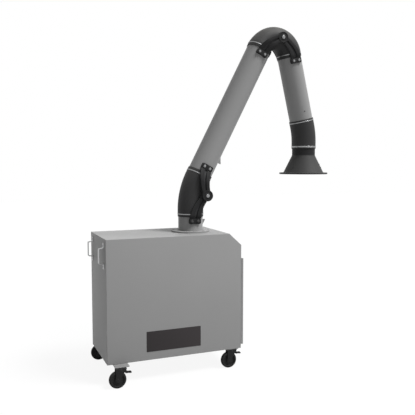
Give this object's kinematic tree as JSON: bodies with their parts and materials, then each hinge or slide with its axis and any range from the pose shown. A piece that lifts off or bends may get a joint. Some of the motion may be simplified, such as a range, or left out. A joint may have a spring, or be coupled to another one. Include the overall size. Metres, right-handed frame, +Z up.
{
  "type": "mobile electrostatic precipitator",
  "caption": "Wheeled grey filter cabinet with a jointed suction arm, black hoses and a round hood, push handles, braked casters and a side door to the filter trays.",
  "frame": {"origin": "middle of the bounding box's base, on the floor", "axes": "+X to the right along the front, +Y from the front to the back, +Z up"},
  "size_m": [2.0258, 0.704, 2.7299],
  "materials": {
    "cabinet_paint": "grey powder coat, semi-matt",
    "plate_paint": "light grey paint",
    "duct_paint": "grey powder coat on sheet steel",
    "zinc_steel": "zinc plated",
    "black_casting": "cast, painted black",
    "hose_rubber": "matt",
    "hood_plastic": "dark grey, matt",
    "caster_steel": "black, pressed",
    "wheel_rubber": "matt",
    "bare_aluminium": "mill finish",
    "machine_paint": "dark blue grey",
    "seal_rubber": "foamed",
    "lamp_green": "clear green lens",
    "black_plastic": "moulded"
  },
  "bodies": {
    "cabinet": {"cabinet_shell": "cabinet_paint", "base_frame": "plate_paint", "push_handle_front": "zinc_steel", "push_handle_rear": "zinc_steel", "inlet_flange": "duct_paint", "control_panel": "black_plastic", "pilot_lamp": "lamp_green", "power_inlet": "black_plastic", "exhaust_grille": "cabinet_paint", "partition": "zinc_steel", "cell_rack": "zinc_steel", "prefilter": "bare_aluminium", "ionizer": "bare_aluminium", "collector_cell": "bare_aluminium", "after_filter": "bare_aluminium", "blower_housing": "zinc_steel", "blower_motor": "machine_paint", "motor_mount": "zinc_steel", "power_pack": "machine_paint", "door_hinge": "zinc_steel"},
    "door": {"access_door": "cabinet_paint", "door_gasket": "seal_rubber"},
    "latch_upper": {"door_latch_upper": "black_plastic"},
    "latch_lower": {"door_latch_lower": "black_plastic"},
    "switch": {"power_switch": "black_plastic"},
    "fan": {"fan_wheel": "bare_aluminium"},
    "swivel": {"swivel_collar": "duct_paint", "collar_bracket_near": "black_casting", "collar_bracket_far": "black_casting", "shoulder_hose": "hose_rubber", "shoulder_band_lower": "zinc_steel"},
    "boom": {"boom_tube": "duct_paint", "boom_foot_bracket_near": "black_casting", "boom_foot_bracket_far": "black_casting", "boom_head_bracket_near": "black_casting", "boom_head_bracket_far": "black_casting", "shoulder_band_upper": "zinc_steel", "elbow_band_boom": "zinc_steel", "elbow_hose": "hose_rubber"},
    "forearm": {"forearm_tube": "duct_paint", "forearm_bracket_near": "black_casting", "forearm_bracket_far": "black_casting", "elbow_band_forearm": "zinc_steel", "hood_band_upper": "zinc_steel", "hood_hose": "hose_rubber"},
    "gimbal": {"hood_gimbal": "zinc_steel"},
    "hood": {"hood": "hood_plastic", "hood_band_lower": "zinc_steel"},
    "caster_front_left": {"caster_fork_front_left": "caster_steel"},
    "caster_wheel_front_left": {"wheel_front_left": "wheel_rubber"},
    "caster_brake_front_left": {"brake_pedal_front_left": "caster_steel"},
    "caster_back_left": {"caster_fork_back_left": "caster_steel"},
    "caster_wheel_back_left": {"wheel_back_left": "wheel_rubber"},
    "caster_brake_back_left": {"brake_pedal_back_left": "caster_steel"},
    "caster_front_right": {"caster_fork_front_right": "caster_steel"},
    "caster_wheel_front_right": {"wheel_front_right": "wheel_rubber"},
    "caster_brake_front_right": {"brake_pedal_front_right": "caster_steel"},
    "caster_back_right": {"caster_fork_back_right": "caster_steel"},
    "caster_wheel_back_right": {"wheel_back_right": "wheel_rubber"},
    "caster_brake_back_right": {"brake_pedal_back_right": "caster_steel"}
  },
  "joints": [
    {"name": "arm_swivel", "type": "hinge", "parent": "cabinet", "child": "swivel", "pos_m": [-0.22941, 0, 1.0675], "axis": [0, 0, 1], "continuous": true},
    {"name": "shoulder_fold", "type": "hinge", "parent": "swivel", "child": "boom", "pos_m": [-0.13341, 0, 1.3555], "axis": [0, 1, 0], "range_deg": [-27.5, 20], "deforming": ["shoulder_hose"]},
    {"name": "elbow_fold", "type": "hinge", "parent": "boom", "child": "forearm", "pos_m": [0.52735, 0, 2.62481], "axis": [0, 1, 0], "range_deg": [-90, 10], "deforming": ["elbow_hose"]},
    {"name": "hood_tilt", "type": "hinge", "parent": "forearm", "child": "gimbal", "pos_m": [0.80891, 0, 1.85717], "axis": [0, 1, 0], "range_deg": [-45, 20], "deforming": ["hood_hose"]},
    {"name": "hood_roll", "type": "hinge", "parent": "gimbal", "child": "hood", "pos_m": [0.80891, 0, 1.85717], "axis": [1, 0, 0], "range_deg": [-30, 30], "deforming": ["hood_hose"]},
    {"name": "door_swing", "type": "hinge", "parent": "cabinet", "child": "door", "pos_m": [0.10309, 0.2701, 0.5], "axis": [0, 0, 1], "range_deg": [0, 120]},
    {"name": "latch_upper_turn", "type": "hinge", "parent": "door", "child": "latch_upper", "pos_m": [0.11559, -0.202, 0.7565], "axis": [-1, 0, 0], "range_deg": [0, 90]},
    {"name": "latch_lower_turn", "type": "hinge", "parent": "door", "child": "latch_lower", "pos_m": [0.11559, -0.202, 0.2925], "axis": [-1, 0, 0], "range_deg": [0, 90]},
    {"name": "switch_rock", "type": "hinge", "parent": "cabinet", "child": "switch", "pos_m": [0.04919, -0.05, 1.02824], "axis": [0, 1, 0], "range_deg": [0, 16]},
    {"name": "fan_spin", "type": "hinge", "parent": "cabinet", "child": "fan", "pos_m": [-0.65991, 0, 0.36], "axis": [1, 0, 0], "continuous": true},
    {"name": "caster_swivel_front_left", "type": "hinge", "parent": "cabinet", "child": "caster_front_left", "pos_m": [-0.88891, -0.329, 0.15], "axis": [0, 0, 1], "continuous": true},
    {"name": "wheel_roll_front_left", "type": "hinge", "parent": "caster_front_left", "child": "caster_wheel_front_left", "pos_m": [-0.91291, -0.329, 0.0635], "axis": [0, 1, 0], "continuous": true},
    {"name": "brake_press_front_left", "type": "hinge", "parent": "caster_front_left", "child": "caster_brake_front_left", "pos_m": [-0.85491, -0.329, 0.1129], "axis": [0, 1, 0], "range_deg": [-20, 12]},
    {"name": "caster_swivel_back_left", "type": "hinge", "parent": "cabinet", "child": "caster_back_left", "pos_m": [-0.88891, 0.329, 0.15], "axis": [0, 0, 1], "continuous": true},
    {"name": "wheel_roll_back_left", "type": "hinge", "parent": "caster_back_left", "child": "caster_wheel_back_left", "pos_m": [-0.91291, 0.329, 0.0635], "axis": [0, 1, 0], "continuous": true},
    {"name": "brake_press_back_left", "type": "hinge", "parent": "caster_back_left", "child": "caster_brake_back_left", "pos_m": [-0.85491, 0.329, 0.1129], "axis": [0, 1, 0], "range_deg": [-20, 12]},
    {"name": "caster_swivel_front_right", "type": "hinge", "parent": "cabinet", "child": "caster_front_right", "pos_m": [0.02209, -0.241, 0.15], "axis": [0, 0, 1], "continuous": true},
    {"name": "wheel_roll_front_right", "type": "hinge", "parent": "caster_front_right", "child": "caster_wheel_front_right", "pos_m": [-0.00191, -0.241, 0.0635], "axis": [0, 1, 0], "continuous": true},
    {"name": "brake_press_front_right", "type": "hinge", "parent": "caster_front_right", "child": "caster_brake_front_right", "pos_m": [0.05609, -0.241, 0.1129], "axis": [0, 1, 0], "range_deg": [-20, 12]},
    {"name": "caster_swivel_back_right", "type": "hinge", "parent": "cabinet", "child": "caster_back_right", "pos_m": [0.02209, 0.241, 0.15], "axis": [0, 0, 1], "continuous": true},
    {"name": "wheel_roll_back_right", "type": "hinge", "parent": "caster_back_right", "child": "caster_wheel_back_right", "pos_m": [-0.00191, 0.241, 0.0635], "axis": [0, 1, 0], "continuous": true},
    {"name": "brake_press_back_right", "type": "hinge", "parent": "caster_back_right", "child": "caster_brake_back_right", "pos_m": [0.05609, 0.241, 0.1129], "axis": [0, 1, 0], "range_deg": [-20, 12]}
  ]
}
